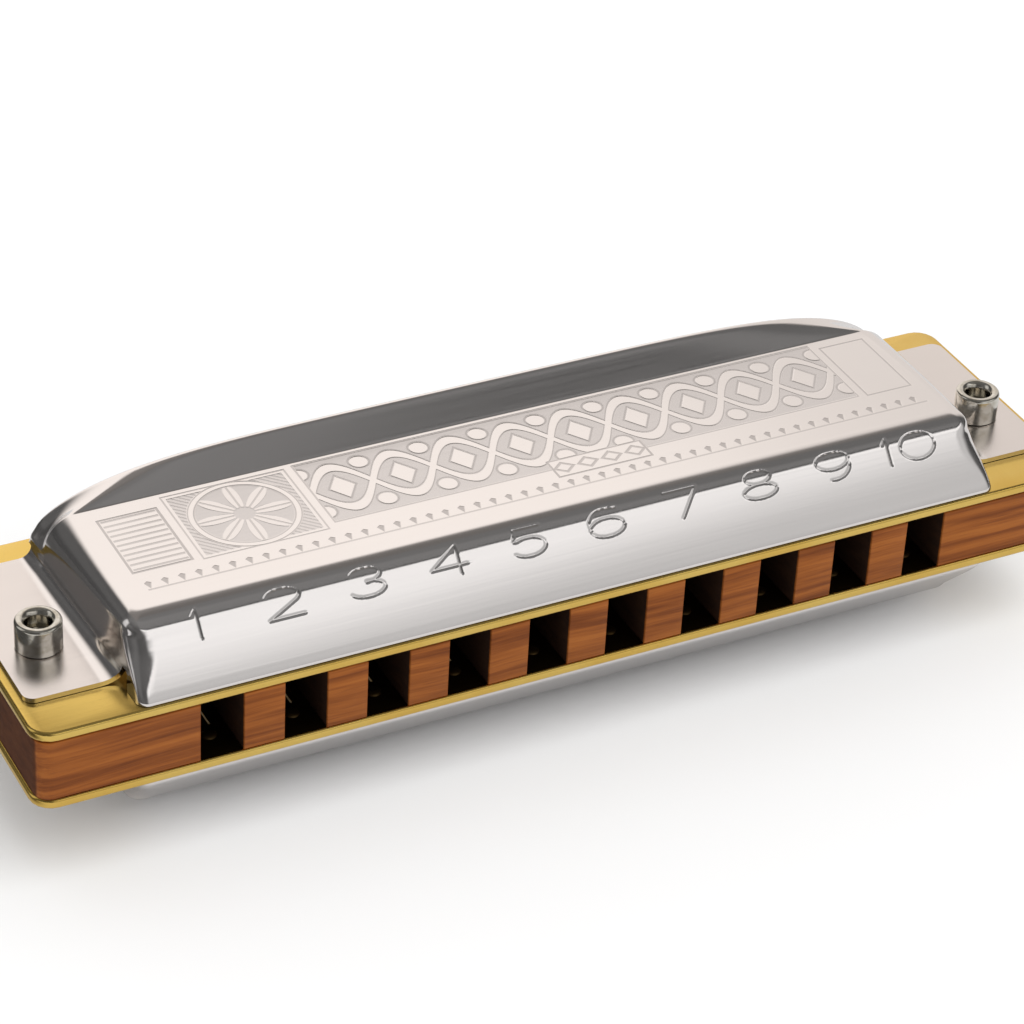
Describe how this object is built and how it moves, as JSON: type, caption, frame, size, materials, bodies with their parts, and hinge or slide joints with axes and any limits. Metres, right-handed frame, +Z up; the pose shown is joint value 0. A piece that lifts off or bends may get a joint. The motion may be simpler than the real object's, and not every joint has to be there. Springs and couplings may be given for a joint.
{
  "type": "harmonica",
  "caption": "Diatonic mouth organ: slotted wooden comb between brass reed plates with riveted reeds, under two pressed steel covers with open backs, held by through screws and sleeve nuts.",
  "frame": {"origin": "under the middle of the instrument, level with the crest of the lower cover's ridge, which is its lowest point", "axes": "+X along the instrument from hole 1 to hole 10, mouth holes face -Y, +Z up through the upper cover"},
  "size_m": [0.1, 0.0264, 0.0233],
  "materials": {
    "wood": "reddish brown hardwood, fine grain along the length, satin lacquer",
    "plate_brass": "rolled brass, satin, slightly polished edges",
    "reed_brass": "filed bright brass",
    "rivet_brass": "turned brass, satin",
    "cover_steel": "polished steel with stamped numbers and shallow engraved ornament",
    "fastener_steel": "plated steel, turned"
  },
  "bodies": {
    "root": {"comb": "wood", "upper_reed_plate": "plate_brass", "lower_reed_plate": "plate_brass", "upper_cover": "cover_steel", "lower_cover": "cover_steel", "cover_screw_left": "fastener_steel", "cover_screw_right": "fastener_steel", "cover_nut_left": "fastener_steel", "cover_nut_right": "fastener_steel", "upper_plate_screw_1": "fastener_steel", "upper_plate_screw_2": "fastener_steel", "upper_plate_screw_3": "fastener_steel", "upper_plate_screw_4": "fastener_steel", "upper_plate_screw_5": "fastener_steel", "lower_plate_screw_1": "fastener_steel", "lower_plate_screw_2": "fastener_steel", "lower_plate_screw_3": "fastener_steel", "lower_plate_screw_4": "fastener_steel", "lower_plate_screw_5": "fastener_steel", "blow_rivet_01": "rivet_brass", "blow_rivet_02": "rivet_brass", "blow_rivet_03": "rivet_brass", "blow_rivet_04": "rivet_brass", "blow_rivet_05": "rivet_brass", "blow_rivet_06": "rivet_brass", "blow_rivet_07": "rivet_brass", "blow_rivet_08": "rivet_brass", "blow_rivet_09": "rivet_brass", "blow_rivet_10": "rivet_brass", "draw_rivet_01": "rivet_brass", "draw_rivet_02": "rivet_brass", "draw_rivet_03": "rivet_brass", "draw_rivet_04": "rivet_brass", "draw_rivet_05": "rivet_brass", "draw_rivet_06": "rivet_brass", "draw_rivet_07": "rivet_brass", "draw_rivet_08": "rivet_brass", "draw_rivet_09": "rivet_brass", "draw_rivet_10": "rivet_brass"},
    "blow_reed_01": {"blow_reed_01": "reed_brass"},
    "blow_reed_02": {"blow_reed_02": "reed_brass"},
    "blow_reed_03": {"blow_reed_03": "reed_brass"},
    "blow_reed_04": {"blow_reed_04": "reed_brass"},
    "blow_reed_05": {"blow_reed_05": "reed_brass"},
    "blow_reed_06": {"blow_reed_06": "reed_brass"},
    "blow_reed_07": {"blow_reed_07": "reed_brass"},
    "blow_reed_08": {"blow_reed_08": "reed_brass"},
    "blow_reed_09": {"blow_reed_09": "reed_brass"},
    "blow_reed_10": {"blow_reed_10": "reed_brass"},
    "draw_reed_01": {"draw_reed_01": "reed_brass"},
    "draw_reed_02": {"draw_reed_02": "reed_brass"},
    "draw_reed_03": {"draw_reed_03": "reed_brass"},
    "draw_reed_04": {"draw_reed_04": "reed_brass"},
    "draw_reed_05": {"draw_reed_05": "reed_brass"},
    "draw_reed_06": {"draw_reed_06": "reed_brass"},
    "draw_reed_07": {"draw_reed_07": "reed_brass"},
    "draw_reed_08": {"draw_reed_08": "reed_brass"},
    "draw_reed_09": {"draw_reed_09": "reed_brass"},
    "draw_reed_10": {"draw_reed_10": "reed_brass"}
  },
  "joints": [
    {"name": "blow_reed_01_flex", "type": "hinge", "parent": "root", "child": "blow_reed_01", "pos_m": [-0.03375, 0.00695, 0.01439], "axis": [1, 0, 0], "range_deg": [-3, 3], "stiffness_Nm_per_rad": 0.0449},
    {"name": "blow_reed_02_flex", "type": "hinge", "parent": "root", "child": "blow_reed_02", "pos_m": [-0.02625, 0.00612, 0.01439], "axis": [1, 0, 0], "range_deg": [-3, 3], "stiffness_Nm_per_rad": 0.0472},
    {"name": "blow_reed_03_flex", "type": "hinge", "parent": "root", "child": "blow_reed_03", "pos_m": [-0.01875, 0.00528, 0.01439], "axis": [1, 0, 0], "range_deg": [-3, 3], "stiffness_Nm_per_rad": 0.0498},
    {"name": "blow_reed_04_flex", "type": "hinge", "parent": "root", "child": "blow_reed_04", "pos_m": [-0.01125, 0.00445, 0.01439], "axis": [1, 0, 0], "range_deg": [-3, 3], "stiffness_Nm_per_rad": 0.0528},
    {"name": "blow_reed_05_flex", "type": "hinge", "parent": "root", "child": "blow_reed_05", "pos_m": [-0.00375, 0.00362, 0.01439], "axis": [1, 0, 0], "range_deg": [-3, 3], "stiffness_Nm_per_rad": 0.0562},
    {"name": "blow_reed_06_flex", "type": "hinge", "parent": "root", "child": "blow_reed_06", "pos_m": [0.00375, 0.00278, 0.01439], "axis": [1, 0, 0], "range_deg": [-3, 3], "stiffness_Nm_per_rad": 0.0603},
    {"name": "blow_reed_07_flex", "type": "hinge", "parent": "root", "child": "blow_reed_07", "pos_m": [0.01125, 0.00195, 0.01439], "axis": [1, 0, 0], "range_deg": [-3, 3], "stiffness_Nm_per_rad": 0.0651},
    {"name": "blow_reed_08_flex", "type": "hinge", "parent": "root", "child": "blow_reed_08", "pos_m": [0.01875, 0.00112, 0.01439], "axis": [1, 0, 0], "range_deg": [-3, 3], "stiffness_Nm_per_rad": 0.071},
    {"name": "blow_reed_09_flex", "type": "hinge", "parent": "root", "child": "blow_reed_09", "pos_m": [0.02625, 0.00028, 0.01439], "axis": [1, 0, 0], "range_deg": [-3, 3], "stiffness_Nm_per_rad": 0.0782},
    {"name": "blow_reed_10_flex", "type": "hinge", "parent": "root", "child": "blow_reed_10", "pos_m": [0.03375, -0.00055, 0.01439], "axis": [1, 0, 0], "range_deg": [-3, 3], "stiffness_Nm_per_rad": 0.0873},
    {"name": "draw_reed_01_flex", "type": "hinge", "parent": "root", "child": "draw_reed_01", "pos_m": [-0.03375, -0.01015, 0.00761], "axis": [-1, 0, 0], "range_deg": [-3, 3], "stiffness_Nm_per_rad": 0.0449},
    {"name": "draw_reed_02_flex", "type": "hinge", "parent": "root", "child": "draw_reed_02", "pos_m": [-0.02625, -0.01015, 0.00761], "axis": [-1, 0, 0], "range_deg": [-3, 3], "stiffness_Nm_per_rad": 0.0472},
    {"name": "draw_reed_03_flex", "type": "hinge", "parent": "root", "child": "draw_reed_03", "pos_m": [-0.01875, -0.01015, 0.00761], "axis": [-1, 0, 0], "range_deg": [-3, 3], "stiffness_Nm_per_rad": 0.0498},
    {"name": "draw_reed_04_flex", "type": "hinge", "parent": "root", "child": "draw_reed_04", "pos_m": [-0.01125, -0.01015, 0.00761], "axis": [-1, 0, 0], "range_deg": [-3, 3], "stiffness_Nm_per_rad": 0.0528},
    {"name": "draw_reed_05_flex", "type": "hinge", "parent": "root", "child": "draw_reed_05", "pos_m": [-0.00375, -0.01015, 0.00761], "axis": [-1, 0, 0], "range_deg": [-3, 3], "stiffness_Nm_per_rad": 0.0562},
    {"name": "draw_reed_06_flex", "type": "hinge", "parent": "root", "child": "draw_reed_06", "pos_m": [0.00375, -0.01015, 0.00761], "axis": [-1, 0, 0], "range_deg": [-3, 3], "stiffness_Nm_per_rad": 0.0603},
    {"name": "draw_reed_07_flex", "type": "hinge", "parent": "root", "child": "draw_reed_07", "pos_m": [0.01125, -0.01015, 0.00761], "axis": [-1, 0, 0], "range_deg": [-3, 3], "stiffness_Nm_per_rad": 0.0651},
    {"name": "draw_reed_08_flex", "type": "hinge", "parent": "root", "child": "draw_reed_08", "pos_m": [0.01875, -0.01015, 0.00761], "axis": [-1, 0, 0], "range_deg": [-3, 3], "stiffness_Nm_per_rad": 0.071},
    {"name": "draw_reed_09_flex", "type": "hinge", "parent": "root", "child": "draw_reed_09", "pos_m": [0.02625, -0.01015, 0.00761], "axis": [-1, 0, 0], "range_deg": [-3, 3], "stiffness_Nm_per_rad": 0.0782},
    {"name": "draw_reed_10_flex", "type": "hinge", "parent": "root", "child": "draw_reed_10", "pos_m": [0.03375, -0.01015, 0.00761], "axis": [-1, 0, 0], "range_deg": [-3, 3], "stiffness_Nm_per_rad": 0.0873}
  ]
}
